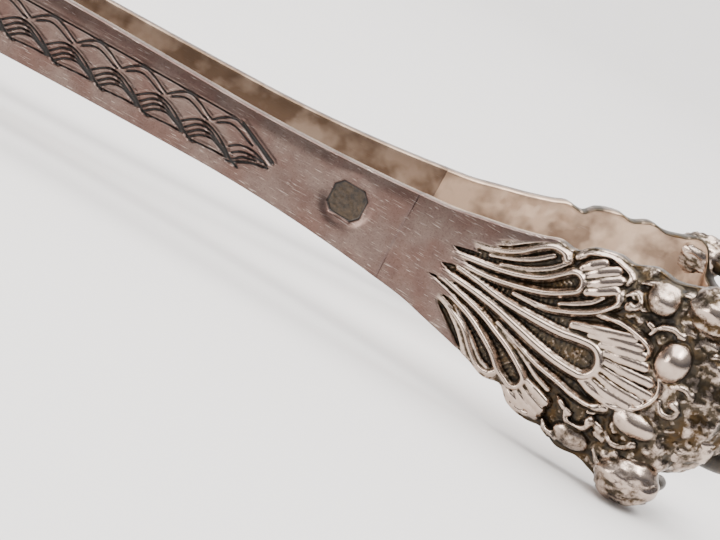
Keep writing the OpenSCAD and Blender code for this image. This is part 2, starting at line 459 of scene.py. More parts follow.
front_strip = build_strip("front_strip", -1)
rear_strip = build_strip("rear_strip", 1)
for strip in (front_strip, rear_strip):
    print(strip.name, len(strip.data.polygons), "faces")


# %% [markdown]
# ## The solder joint
# Hard solder fills the hairline between strip and casting, and the torch leaves a soft grey band on
# both sides of it. It was filed almost flush. A short swept band with the strip's own section fits
# exactly, where a flat box would stick out at the rolled edges.

# %% Build the two seams
SEAM_PROUD = 0.004


def build_seam(name, side):
    s = np.linspace(SOLDER_S, SOLDER_S + SEAM_T, 5)
    half = strip_half(s) + SEAM_PROUD
    z = section(half, dense=2.2, fine=0.2, edge_r=EDGE_R, coarse=8)
    grid = (np.broadcast_to((s - FLARE_END)[:, None], z.shape), z)
    proud = SEAM_PROUD * np.sin(np.linspace(0, math.pi, 5))[:, None]
    lift = roll(z, half[:, None]) + proud + worn(grid)
    inner = np.full(z.shape, -STRIP_T) - proud
    marks = {"grime_and_shade": 0.12 + 0.1 * rough(grid, 0.8, 22), "heat": heat(s, z)}
    return ring_tube(name, s, z, lift, inner, EDGE_R, side, marks)


front_seam = build_seam("front_seam", -1)
rear_seam = build_seam("rear_seam", 1)
print("seams", len(front_seam.data.polygons), "faces each")


# %% [markdown]
# ## The outline of the casting
# Seen from its outer side the casting widens from the neck in three soft scallops, one for each
# spray of the shell ornament, then swells over the knuckles and the outer toes and steps in to the
# two inner toes. The outline is a smooth curve through one point for each crest and each hollow.
# Its face also curves inward towards the edges, more and more towards the paw.

# %% Outline and crown
OUTLINE = [(-6, 4.2), (-3, 4.5), (-0.5, 5.0), (2.5, 5.6), (5, 6.25), (6.5, 6.75), (8.2, 6.65), (9.4, 7.6),
           (11.5, 8.15), (13, 8.05), (14.8, 8.75), (16.7, 8.6), (18.3, 9.0), (20.2, 9.6), (22.3, 9.4),
           (24, 8.2), (25.2, 6.7), (27.2, 6.1), (29.4, 5.0)]
SHELL_T = 2.0


def claw_half(p):
    """Half of the casting's height at a distance p past the end of the bend."""
    line = curve(OUTLINE, steps=16)
    return np.interp(p, line[:, 0], line[:, 1])


def crown(p, z, half):
    """How far the face has curved inward."""
    drop = ROLL_DROP + 1.1 * soft_step((p - 1) / 14) + 1.0 * soft_step((p - 14) / 10)
    return -drop * np.clip(np.abs(z) / half, 0, 1)**2.4


# %% [markdown]
# ## The shell ornament
# Three long loops spring from the neck, with ribs between them, a half loop outside each side loop
# and a fluted fan past the end of each. On the real casting the chaser sank the ground with punches
# and left the loops standing as round beads. The script does it the same way: the ground goes down
# wherever it is clear of every bead, so it comes up to a point where two beads run together.

# %% Beads of the ornament
def arc(centre, radius, start, end, count=6):
    """Points on a round stretch, with angles in degrees."""
    turns = np.radians(np.linspace(start, end, count))
    return [(centre[0] + radius * math.cos(a), centre[1] + radius * math.sin(a)) for a in turns]


LOOP_B = ([(0.3, 0.45), (2.1, 0.3), (5, 0), (8, 0), (10.6, 0.15), (12.4, 0.5)]
          + arc((13.4, -0.8), 1.42, 80, -100)
          + [(11.4, -2.15), (9.3, -1.85), (7.1, -1.4), (4.9, -0.95), (2.9, -0.7), (0.8, -0.55), (-0.9, -0.5)])
LOOP_A = ([(-0.6, 1.35), (1.5, 1.7), (3.4, 2.05), (5.5, 2.65), (7.2, 3.45), (8.35, 4.45)]
          + arc((9.5, 4.35), 0.85, 118, -60)
          + [(8.6, 2.75), (7.1, 2.1), (4.6, 1.4), (2.5, 1.0), (-0.5, 0.8)])
LOOP_C = ([(-0.8, -1), (2.4, -1.6), (4.2, -2.05), (5.9, -2.7), (7.2, -3.25), (8.6, -4.05)]
          + arc((9.0, -5.35), 0.85, 55, -130)
          + [(7.4, -5.45), (6.1, -4.3), (3.5, -2.85), (0.7, -2.0), (-1.2, -1.65)])
HALF_A = [(-0.2, 2.75), (2.4, 3.35), (4.2, 4.25), (5.4, 5.3), (6.5, 6.05), (7.6, 6.1), (8.1, 5.7)]
HALF_C = [(-0.5, -2.45), (1.2, -3), (3.1, -3.85), (4.5, -5.2), (5.7, -6.15), (6.8, -6.3), (7.3, -5.9)]
RIB_AB = [(5.6, 0.95), (8.3, 1.2), (10.2, 1.9), (11.9, 2.8), (12.9, 3.6), (13.7, 4.7), (13.45, 5.4)]
RIB_BC = [(5.6, -1.95), (7.9, -2.65), (10.1, -3.25), (12.2, -3.6), (14.2, -3.9), (16.1, -3.8), (17, -3.4)]
THREADS = [
    [(2.2, 2.75), (4.3, 3.6), (5.7, 4.4), (6.9, 5.4)],
    [(3.4, 2.5), (5.6, 3.3), (7.3, 4.4), (8.3, 5.5)],
    [(1.6, -2.6), (3.9, -4.2), (5.5, -5.5), (6.5, -5.9)],
    [(0.4, -2.6), (2.6, -4.1), (4.2, -5.7), (5.2, -6.2)],
    [(0.9, 3.55), (2.8, 4.2), (4.2, 5.2), (5.2, 5.9)],
    [(6.4, -2.4), (8.6, -3.2), (10.6, -4.2), (12.0, -4.7)],
    [(9.4, 2.2), (10.6, 2.9), (11.7, 3.7), (12.3, 4.5)],
]


def half_round(off, half_width):
    return np.sqrt(np.clip(1 - (np.abs(off) / half_width)**2.3, 0, 1))


def lay(relief, clear, mask, off, half_width, rise):
    """Raises the points under a bead, and keeps in clear how far each point is from its side."""
    on_it = off < half_width
    here = relief[mask]
    here[on_it] = np.maximum(here[on_it], rise[on_it])
    relief[mask] = here
    clear[mask] = np.minimum(clear[mask], off - half_width)


def bead(relief, clear, grid, points, width, foot, top):
    """A round bead. Its half width and its height grow from each end of the line to the middle."""
    mask, off, share, _ = near(grid, curve(points), REACH)
    grow = soft_step(np.minimum(share, 1 - share) * 3.2)
    half_width = width[0] + (width[1] - width[0]) * grow
    level = foot[0] + (foot[1] - foot[0]) * grow
    rise = level + (top - foot[1]) * (0.25 + 0.75 * grow) * half_round(off, half_width)
    lay(relief, clear, mask, off, half_width, rise)


def open_bead(relief, clear, grid, points, width, foot, top, ends):
    """A bead that starts small and ends in a drop."""
    mask, off, share, _ = near(grid, curve(points), REACH)
    grow = soft_step(share * 2.2)
    half_width = width[0] + (width[1] - width[0]) * grow + ends * soft_step((share - 0.86) / 0.1)
    rise = foot + (top - foot) * (0.3 + 0.7 * grow) * half_round(off, half_width)
    lay(relief, clear, mask, off, half_width, rise)


# %% [markdown]
# ## Fans and flutes
# Past the end of each loop lies a fan: a shell-shaped petal with a raised border, filled with round
# flutes that spread from the loop. A flute is a wide shallow bead, and the dark line between two
# flutes is simply where the petal's ground shows.

# %% Fans
FAN_B_BORDERS = [
    [(14.6, -2.7), (16.4, -3.0), (17.9, -2.85), (19.3, -2.0), (20.1, -0.6), (20.0, 0.6), (19.2, 1.35),
     (18.2, 1.2)],
    [(12.6, 3.1), (14.7, 3.45), (16.2, 3.35), (17.5, 3.0), (17.9, 2.35), (17.8, 1.6)],
]
FAN_B_FLUTES = [
    [(14.0, -2.35), (15.6, -2.75), (17.4, -2.75)],
    [(14.7, -2.0), (16.5, -2.3), (18.5, -2.25)],
    [(15.1, -1.35), (17.0, -1.55), (19.3, -1.5)],
    [(15.3, -0.7), (17.2, -0.7), (19.6, -0.6)],
    [(15.2, 0.0), (17.0, 0.15), (19.2, 0.4)],
    [(14.8, 0.6), (16.4, 0.95), (18.2, 1.3)],
    [(14.2, 1.05), (15.8, 1.55), (17.6, 2.0)],
    [(13.0, 1.3), (14.8, 1.9), (17.1, 2.5)],
    [(11.3, 1.25), (13.4, 1.95), (16.3, 2.95)],
]
FAN_A_BORDER = [(8.7, 6.3), (9.6, 7.2), (11.2, 7.75), (12.5, 7.6), (13.4, 7.1), (13.4, 6.5)]
FAN_A_FLUTES = [
    [(9.6, 5.75), (10.2, 6.4), (10.9, 7.0)],
    [(10.2, 5.4), (11.2, 6.3), (12.2, 7.0)],
    [(10.7, 4.85), (11.7, 5.6), (12.8, 6.4)],
    [(10.9, 4.25), (11.8, 4.8), (12.8, 5.5)],
]
FAN_C_BORDER = [(8.6, -7.0), (9.9, -7.6), (11.4, -7.55), (12.4, -7.0)]
FAN_C_FLUTES = [
    [(8.7, -6.6), (9.6, -7.0), (10.7, -7.3)],
    [(9.6, -6.3), (10.7, -6.8), (11.9, -7.2)],
    [(10.1, -5.8), (11.1, -6.2), (12.2, -6.6)],
    [(10.2, -5.1), (11.2, -5.4), (12.3, -5.8)],
]
GROUND = 0.4
BEAD_TOP = 0.34
REACH = 1.6
START = [(-2.4, -0.4), (-1.95, 0.9), (-1.3, -2.1), (-0.8, 0.2), (0.06, -1.5), (0.9, 0.6), (1.86, -1.3),
         (2.4, 0.8), (3.1, 0), (3.6, 2)]
UPPER = [(-0.2, 3.3), (2.5, 4.5), (5, 5.8), (7, 6.8), (8.5, 9.5)]
LOWER = [(-0.8, -2.6), (0.5, -3.6), (1.6, -4.4), (3, -5.4), (5, -6.9), (6.5, -9.5)]


def border_line(at, points):
    """The height of a broken line through points, at each place."""
    line = np.array(points)
    return np.interp(at, line[:, 0], line[:, 1])


def ornament(relief, grid):
    """Sinks the ground and raises the beads. Returns three values from 0 to 1: how deep each point
    lies, how close it lies to the foot of a bead, and how far it lies outside the ornament."""
    clear = np.full(relief.shape, REACH)
    beads = np.full(relief.shape, -9.0)
    low = -GROUND * 0.7
    for loop, width in ((LOOP_B, 0.42), (LOOP_A, 0.29), (LOOP_C, 0.3)):
        bead(beads, clear, grid, loop, (0.2, width), (-0.05, low), BEAD_TOP)
    for half_loop in (HALF_A, HALF_C):
        open_bead(beads, clear, grid, half_loop, (0.14, 0.27), low, BEAD_TOP - 0.05, 0.1)
    for rib in (RIB_AB, RIB_BC):
        open_bead(beads, clear, grid, rib, (0.1, 0.24), low, BEAD_TOP - 0.05, 0.2)
    for thread in THREADS:
        open_bead(beads, clear, grid, thread, (0.06, 0.12), low, -0.02, 0)
    for flute in FAN_B_FLUTES + FAN_A_FLUTES + FAN_C_FLUTES:
        open_bead(beads, clear, grid, flute, (0.3, 0.46), 0.04, BEAD_TOP + 0.02, 0)
    for border in FAN_B_BORDERS + [FAN_A_BORDER, FAN_C_BORDER]:
        bead(beads, clear, grid, border, (0.16, 0.27), (low, low), BEAD_TOP + 0.16)
    started = soft_step((grid[0] - border_line(grid[1], START)) / 0.8)
    ended = soft_step((20 - grid[0]) / 3)
    above = soft_step((border_line(grid[0], UPPER) - grid[1]) / 0.3)
    below = soft_step((grid[1] - border_line(grid[0], LOWER)) / 0.3)
    inside = started * ended * above * below
    outside = (1 - started * above * below) * soft_step((10 - grid[0]) / 3)
    sunk = soft_step(clear / 0.3) * inside
    texture = 0.05 * rough(grid, 0.28, 31) + 0.03 * rough(grid, 0.13, 32)
    relief += sunk * (-GROUND + texture)
    relief[:] = np.maximum(relief, beads)
    # The second value, at the foot of each bead, darkens there as tarnish and painted shade.
    return sunk, inside * np.exp(-(clear / 0.11)**2), outside


# %% [markdown]
# ## Punched hatching inside the loops
# The ground inside a loop is struck with a row of fine ticks square to its rim. They are drawn as a
# ripple along the loop's own line, close to its inner side, about four tenths of a millimetre apart.

# %% Ticks
TICK = 0.42


def ticks(relief, grid, sunk):
    for loop in (LOOP_A, LOOP_B, LOOP_C):
        mask, off, share, length = near(grid, curve(loop), 1.2)
        ripple = np.cos(share * length / TICK * 2 * math.pi)
        close = soft_step((1.15 - off) / 0.5)
        relief[mask] += 0.07 * ripple * close * sunk[mask]


# %% [markdown]
# ## Knuckles, fur and curls
# Behind the toes the casting is modelled as a paw: smooth burnished knuckles standing out of rough
# fur. Knuckles are half ellipsoids. The fur is a field of short bent tufts that flow towards the
# toes and stay off the knuckles, with a lumpy ground between, and a few larger curls are placed
# where the fur turns back on itself.

# %% The paw's relief
KNUCKLES = [
    ((15.6, -7.2), (1.45, 0.85), 0.7), ((16.7, 6.9), (1.25, 1.2), 1.25),
    ((19.8, -3.4), (1.7, 0.95), 0.8), ((20.0, 2.9), (1.2, 1.5), 1.3),
]
SKIRT = 1.4
CURLS = [
    [(14.2, -5.2), (14.6, -6.0), (15.5, -6.2), (16.4, -5.7), (16.5, -5.0)],
    [(12.9, -7.3), (13.5, -7.9), (14.4, -7.8)],
    [(20.6, -0.6), (21.2, -1.3), (22.0, -1.2), (22.2, -0.6), (21.7, -0.2)],
    [(23.6, -3.0), (24.2, -3.7), (25.1, -3.5), (25.3, -2.8)],
    [(13.9, 5.6), (14.6, 6.3), (15.3, 6.0), (15.2, 5.3), (14.6, 5.0)],
    [(17.6, 7.7), (18.4, 8.2), (19.3, 8.0), (19.8, 7.3)],
    [(17.2, 3.9), (17.7, 4.8), (18.7, 5.2), (19.6, 5.0)],
    [(20.9, 1.0), (21.7, 1.4), (22.5, 1.1)],
    [(22.0, 4.0), (22.8, 4.9), (23.9, 4.9), (24.4, 4.2)],
    [(18.0, -5.2), (18.9, -5.7), (19.9, -5.5), (20.5, -4.9)],
    [(17.9, -7.2), (18.7, -7.9), (19.7, -7.8)],
]
TUFTS = 95


def tufts():
    """Short bent strokes that flow towards the toes, clear of the knuckles."""
    rng = np.random.default_rng(41)
    strokes = []
    while len(strokes) < TUFTS:
        p, z = rng.uniform(13, 28.5), rng.uniform(-9, 9)
        length, bend = rng.uniform(0.9, 2.1), rng.uniform(-0.8, 0.8)
        width = rng.uniform(0.2, 0.4)
        on_fan = p < 20.6 and abs(z - 0.2) < 3.3
        near_knuckle = any(math.hypot((p - c[0]) / (r[0] + 0.3), (z - c[1]) / (r[1] + 0.3)) < 1
                           for c, r, _ in KNUCKLES)
        if on_fan or near_knuckle or abs(z) > claw_half(p) - 0.4:
            continue
        turn = 0.05 * z + bend * 0.5
        start = np.array([p, z])
        ahead = np.array([math.cos(turn), math.sin(turn)])
        aside = np.array([-ahead[1], ahead[0]])
        strokes.append(([start, start + 0.5 * length * ahead + 0.18 * bend * aside,
                         start + length * ahead + 0.7 * bend * aside], width))
    return strokes


def paw(relief, grid):
    """Raises the paw. Returns 1 on the fur and 0 on the burnished knuckles."""
    amount = soft_step((grid[0] - 12.6) / 2.4)
    on_fan = np.hypot((grid[0] - 16) / 5.0, (grid[1] - 0.2) / 3.7)
    amount = amount * soft_step((on_fan - 0.9) / 0.25)
    mound = 0.35 * amount + 0.25 * soft_step((grid[0] - 20) / 6)
    lumps = 0.34 * rough(grid, 1.4, 42) + 0.16 * rough(grid, 0.7, 43) + 0.05 * rough(grid, 0.3, 44)
    relief += mound + lumps * amount
    spare = np.full(relief.shape, 9.0)
    raised = np.full(relief.shape, -9.0)
    for points, width in tufts():
        bead(raised, spare, grid, points, (0.1, width), (0.0, 0.1), 0.42)
    for points in CURLS:
        open_bead(raised, spare, grid, points, (0.18, 0.34), 0.1, 0.72, 0.14)
    relief[:] = np.maximum(relief, np.where(raised > -1, raised + 0.6 * lumps, -9))
    smooth = np.zeros(relief.shape)
    for centre, radii, height in KNUCKLES:
        off = np.hypot((grid[0] - centre[0]) / radii[0], (grid[1] - centre[1]) / radii[1])
        off = off + 0.06 * rough(grid, 1.1, 45)
        dome = 0.1 + height * np.cos(np.clip(off / SKIRT, 0, 1) * math.pi / 2)
        share = soft_step((SKIRT - off) / 0.35)
        relief[:] = relief * (1 - share) + dome * share
        smooth = np.maximum(smooth, soft_step((1.2 - off) / 0.4))
    return amount * (1 - smooth)


# %% [markdown]
# ## Grime and painted shade from the shape itself
# Old silver is bright where hands and cloths reach and black where they don't. So the script
# measures how far each point lies below the average of its neighbours, and keeps that with the
# depth of the sunk ground as a value on the mesh. The crease at the foot of each bead is darkened
# too, as tarnish and painted shade. The materials below read it.

# %% Tarnish of the hollows and painted shade of the creases
def blurred(values, reach):
    """The running mean over a square of 2 * reach + 1 grid points."""
    for axis in (0, 1):
        pad = [(reach + 1, reach) if a == axis else (0, 0) for a in (0, 1)]
        total = np.cumsum(np.pad(values, pad, mode="edge"), axis=axis)
        width = 2 * reach + 1
        ahead = np.take(total, range(width, total.shape[axis]), axis=axis)
        behind = np.take(total, range(0, total.shape[axis] - width), axis=axis)
        values = (ahead - behind) / width
    return values


def tarnish_and_shade(relief, sunk, crease):
    small = np.clip((blurred(relief, 4) - relief) / 0.16, -1, 1)
    large = np.clip((blurred(relief, 12) - relief) / 0.5, -1, 1)
    # Tarnish in the hollows; the crease term adds painted shade at the feet of the beads.
    return np.clip(0.4 * sunk + 0.3 * crease + 0.32 * small + 0.1 * large, 0, 1)


# %% [markdown]
# ## The cast claw
# The shell is built as the strip was, with a fine grid over its outer face and a plainer inside,
# which the casting leaves rough and hollow. Toes and talons stand free of it, so they are closed
# forms of their own in the same mesh: pitted ellipsoids for the toes and tapering hooks, bent along
# a curve, for the talons.

# %% Toes and talons
TOES = [(21.9, 7.9, 1.5, (2.9, 2.3, 2.4)), (26.3, 3.15, 2.2, (2.9, 2.55, 2.6))]
TALONS = [(0.85, 4.6, 0.0), (1.55, 0.0, 0.8)]
TALON_GAP = 10.8
TALON_TIP_R = 0.42
COLUMNS = 197


def ellipsoid(centre_s, z, depth, radii, side, seed):
    """A pitted ball in the arm's own directions. Returns points, faces and grime."""
    turns, levels = 56, 36
    a = np.linspace(0, 2 * math.pi, turns, endpoint=False)
    b = np.linspace(-math.pi / 2, math.pi / 2, levels + 2)[1:-1]
    b, a = np.meshgrid(b, a, indexing="ij")
    pits = (rough((6 * b, 3 * a * np.cos(b)), 0.8, seed) * 0.05
            + rough((6 * b, 6 * np.cos(a)), 2.6, seed + 1) * 0.07)
    size = 1 + pits
    s = centre_s + radii[0] * size * np.cos(b) * np.cos(a)
    up = z + radii[1] * size * np.sin(b)
    out = -depth + radii[2] * size * np.cos(b) * np.sin(a)
    x, d = path(np.array([centre_s]))
    h = heading(np.array([centre_s]))[0]
    along = s - centre_s
    points = np.stack([x + along * math.cos(h) - out * math.sin(h),
                       side * (d + along * math.sin(h) + out * math.cos(h)),
                       MID_Z + up], axis=-1)
    faces = tube_faces(levels, turns, side < 0)
    return points.reshape(-1, 3), faces, np.clip(0.24 - 3.5 * pits, 0, 1).ravel()


def hook(start, middle, tip, radius, side):
    """A talon: a tube that bends from start to tip and tapers to a blunt point."""
    rings, turns = 28, 20
    t = np.linspace(0, 1, rings)[:, None]
    line = (1 - t)**2 * start + 2 * t * (1 - t) * middle + t**2 * tip
    step = np.gradient(line, axis=0)
    step /= np.linalg.norm(step, axis=1)[:, None]
    across = np.cross(step, [0, 0, 1.0])
    across /= np.linalg.norm(across, axis=1)[:, None]
    over = np.cross(across, step)
    r = radius * (1 - t**1.6) + TALON_TIP_R * t**1.6
    r[-3:] *= np.array([[0.9], [0.7], [0.35]])
    a = np.linspace(0, 2 * math.pi, turns, endpoint=False)
    ring = np.cos(a)[None, :, None] * across[:, None] + 0.85 * np.sin(a)[None, :, None] * over[:, None]
    points = line[:, None] + r[:, :, None] * ring
    grime_and_shade = np.broadcast_to(0.85 - 0.55 * t, (rings, turns))
    return points.reshape(-1, 3), tube_faces(rings, turns, False), grime_and_shade.ravel()


# %% Build the claws
TOE_TIP_X = np.array(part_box("front_claw")[1])[0] / MM


def build_claw(name, side):
    s = stations([(SOLDER_S + SEAM_T, FLARE_END - 2.6, 0.4), (FLARE_END - 2.6, TOE_S, 0.1)])
    p = s - FLARE_END
    half = claw_half(p)
    share = np.linspace(-1, 1, COLUMNS)
    z = share[None, :] * (half[:, None] - EDGE_R)
    grid = (np.broadcast_to(p[:, None], z.shape), z)
    relief = worn(grid)
    sunk, crease, plain = ornament(relief, grid)
    ticks(relief, grid, sunk)
    fur = paw(relief, grid)
    edge = soft_step((half[:, None] - np.abs(z)) / 0.5)
    relief *= 0.35 + 0.65 * edge
    # Tarnish, with painted shade in the creases at the feet of the beads.
    grime_and_shade = np.maximum(tarnish_and_shade(relief, np.maximum(sunk, fur), crease), 0.2 * fur)
    face = crown(grid[0], z, half[:, None])
    rough_back = 0.1 * rough(grid, 1.6, 52) + 0.05 * rough(grid, 0.6, 53)
    back = -SHELL_T + face * 0.9 + rough_back * soft_step((grid[0] + 3) / 5)
    marks = {"grime_and_shade": grime_and_shade, "smooth_face": plain, "heat": heat(s, z)}
    casting = ring_tube(name, s, z, relief + face, back, EDGE_R, side, marks, back_grime=0.1)
    extra = []
    for toe, (at, up, depth, radii) in enumerate(TOES):
        for level in (-1, 1):
            extra.append(ellipsoid(FLARE_END + at, level * up, depth, radii, side, 60 + 4 * toe + level))
            start = place(FLARE_END + at + 0.6, level * up, -depth, side)
            radius, back_by, aside = TALONS[toe]
            tip_x = TOE_TIP_X - 0.5 - back_by
            tip_z = MID_Z + level * (up + aside)
            tip = np.array([tip_x, side * TALON_GAP, tip_z])
            middle = np.array([tip_x + 0.9, 0.4 * start[1] + 0.6 * tip[1], tip_z])
            extra.append(hook(start, middle, tip, radius, side))
    pieces = [casting]
    for number, (points, faces, dirt) in enumerate(extra):
        marks = {"grime_and_shade": dirt, "run_mm": points}
        pieces.append(mesh_object(f"{name}_{number}", points, faces, marks))
    with bpy.context.temp_override(active_object=casting, selected_editable_objects=pieces):
        bpy.ops.object.join()
    return casting


front_claw = build_claw("front_claw_casting", -1)
rear_claw = build_claw("rear_claw_casting", 1)
print("claw faces", sum(len(polygon.vertices) - 2 for polygon in front_claw.data.polygons))


# %% [markdown]
# ## Colours and nodes
# Colours are written as the hex values that a screen shows and turned to linear light by one
# function. One more function adds a node with its settings and its links, so that a material below
# reads from top to bottom as a recipe.

# %% Two small helpers
def tint(code):
    """A hex sRGB colour as linear RGBA."""
    parts = [int(code[i:i + 2], 16) / 255 for i in (1, 3, 5)]
    return [c / 12.92 if c <= 0.04045 else ((c + 0.055) / 1.055)**2.4 for c in parts] + [1.0]


def add(tree, kind, links=None, **settings):
    """Adds a node. links gives each input a value or the output that feeds it."""
    made = tree.nodes.new(kind)
    for name, value in settings.items():
        setattr(made, name, value)
    for name, value in (links or {}).items():
        if isinstance(value, bpy.types.NodeSocket):
            tree.links.new(value, made.inputs[name])
        else:
            made.inputs[name].default_value = value
    return made


def fresh(name):
    material = bpy.data.materials.new(name)
    material.use_nodes = True
    material.node_tree.nodes.clear()
    return material, material.node_tree


# %% [markdown]
# ## Worn rolled silver
# Silver of about 925 parts, rolled, filed and polished by hand, then used for a century. It is a
# metal, so its colour is the colour of its reflection: a warm grey under a thin purple-brown film
# of tarnish. Fine scratches run along the strip and short ones cross it, and the cuts are full of
# black sulphide, which is hardly a metal at all, so grime takes the metallic value down too.

# %% Film and scratches of polished silver
def polished(tree, inner_light, inner_dark):
    """The look of the smooth silver, with two colours for its inner side. Returns its colour,
    roughness and height for a bump."""
    run = add(tree, "ShaderNodeAttribute", attribute_name="run_mm").outputs["Vector"]
    inside = add(tree, "ShaderNodeAttribute", attribute_name="inside").outputs["Fac"]
    heated = add(tree, "ShaderNodeAttribute", attribute_name="heat").outputs["Fac"]
    clouds = add(tree, "ShaderNodeTexNoise", {"Vector": run, "Scale": 0.26, "Detail": 3.0, "Roughness": 0.5})
    mottle = add(tree, "ShaderNodeTexNoise", {"Vector": run, "Scale": 0.55, "Detail": 9.0, "Roughness": 0.72})
    grain = add(tree, "ShaderNodeTexNoise", {"Vector": run, "Scale": 6.0, "Detail": 4.0, "Roughness": 0.75})
    lines_at = add(tree, "ShaderNodeMapping", {
        "Vector": run, "Rotation": (0, 0, 0.35), "Scale": (0.5, 12.0, 1)})
    lines = add(tree, "ShaderNodeTexNoise", {"Vector": lines_at.outputs[0], "Scale": 1.0, "Detail": 3.0})
    nicks_at = add(tree, "ShaderNodeMapping", {
        "Vector": run, "Rotation": (0, 0, 1.2), "Scale": (0.7, 9.0, 1)})
    nicks = add(tree, "ShaderNodeTexNoise", {"Vector": nicks_at.outputs[0], "Scale": 1.0, "Detail": 2.0})
    pink = add(tree, "ShaderNodeMapRange", {0: clouds.outputs[0], 1: 0.42, 2: 0.6})
    film = add(tree, "ShaderNodeMapRange", {0: mottle.outputs[0], 1: 0.42, 2: 0.66, 4: 0.6})
    speck = add(tree, "ShaderNodeMapRange", {0: grain.outputs[0], 1: 0.52, 2: 0.68, 4: 0.5})
    scratch = add(tree, "ShaderNodeMapRange", {0: lines.outputs[0], 1: 0.62, 2: 0.7, 4: 0.28})
    nick = add(tree, "ShaderNodeMapRange", {0: nicks.outputs[0], 1: 0.65, 2: 0.72, 4: 0.55})
    warm = add(tree, "ShaderNodeMix", {0: pink.outputs[0], 6: tint("#71615A"), 7: tint("#67524B")},
               data_type="RGBA")
    filmed = add(tree, "ShaderNodeMix", {0: film.outputs[0], 6: warm.outputs[2], 7: tint("#594743")},
                 data_type="RGBA")
    specked = add(tree, "ShaderNodeMix", {0: speck.outputs[0], 6: filmed.outputs[2], 7: tint("#3D302B")},
                  data_type="RGBA")
    brown = add(tree, "ShaderNodeMix", {0: pink.outputs[0], 6: tint(inner_light), 7: tint(inner_dark)},
                data_type="RGBA")
    browned_by = add(tree, "ShaderNodeMath", {0: inside, 1: 0.8}, operation="MULTIPLY")
    browned = add(tree, "ShaderNodeMix", {
        0: browned_by.outputs[0], 6: specked.outputs[2], 7: brown.outputs[2]}, data_type="RGBA")
    greyed_by = add(tree, "ShaderNodeMath", {0: heated, 1: 0.85}, operation="MULTIPLY")
    greyed = add(tree, "ShaderNodeMix", {0: greyed_by.outputs[0], 6: browned.outputs[2], 7: tint("#43424A")},
                 data_type="RGBA")
    scraped = add(tree, "ShaderNodeMath", {0: scratch.outputs[0], 1: nick.outputs[0]}, operation="MAXIMUM")
    hidden_by = add(tree, "ShaderNodeMapRange", {0: inside, 1: 0.0, 2: 1.0, 3: 1.0, 4: 0.25})
    marks = add(tree, "ShaderNodeMath", {0: scraped.outputs[0], 1: hidden_by.outputs[0]},
                operation="MULTIPLY")
    marked = add(tree, "ShaderNodeMix", {0: marks.outputs[0], 6: greyed.outputs[2], 7: tint("#C9B9AE")},
                 data_type="RGBA")
    satin = add(tree, "ShaderNodeMapRange", {0: mottle.outputs[0], 1: 0.3, 2: 0.7, 3: 0.27, 4: 0.44})
    dull = add(tree, "ShaderNodeMath", {0: inside, 1: 0.12, 2: satin.outputs[0]}, operation="MULTIPLY_ADD")
    height = add(tree, "ShaderNodeMath", {0: marks.outputs[0], 1: grain.outputs[0]}, operation="SUBTRACT")
    return marked.outputs[2], dull.outputs[0], height.outputs[0]


# %% Silver of the strip
def strip_silver():
    material, tree = fresh("worn_rolled_silver")
    smooth, satin, height = polished(tree, "#B39C88", "#75614F")
    grime_and_shade = add(tree, "ShaderNodeAttribute", attribute_name="grime_and_shade").outputs["Fac"]
    at = add(tree, "ShaderNodeAttribute", attribute_name="run_mm").outputs["Vector"]
    crumbs = add(tree, "ShaderNodeTexNoise", {"Vector": at, "Scale": 0.9, "Detail": 9.0, "Roughness": 0.85})
    patina = add(tree, "ShaderNodeAttribute", attribute_name="patina").outputs["Fac"]
    dirty = add(tree, "ShaderNodeMapRange", {0: grime_and_shade, 1: 0.2, 2: 0.75})
    ochre = add(tree, "ShaderNodeMapRange", {0: crumbs.outputs[0], 1: 0.38, 2: 0.64})
    olive = add(tree, "ShaderNodeMix", {0: ochre.outputs[0], 6: tint("#17120E"), 7: tint("#4A3A27")},
                data_type="RGBA")
    floor = add(tree, "ShaderNodeMix", {0: patina, 6: smooth, 7: olive.outputs[2]}, data_type="RGBA")
    colour = add(tree, "ShaderNodeMix", {0: dirty.outputs[0], 6: floor.outputs[2], 7: tint("#15110F")},
                 data_type="RGBA")
    cover = add(tree, "ShaderNodeMath", {0: grime_and_shade, 1: patina}, operation="MAXIMUM")
    metal = add(tree, "ShaderNodeMapRange", {0: cover.outputs[0], 1: 0.2, 2: 0.8, 3: 1.0, 4: 0.3})
    bump = add(tree, "ShaderNodeBump", {"Height": height, "Strength": 0.25, "Distance": 0.00002})
    shader = add(tree, "ShaderNodeBsdfPrincipled", {
        "Base Color": colour.outputs[2], "Metallic": metal.outputs[0], "Roughness": satin,
        "Normal": bump.outputs[0]})
    add(tree, "ShaderNodeOutputMaterial", {"Surface": shader.outputs[0]})
    return material
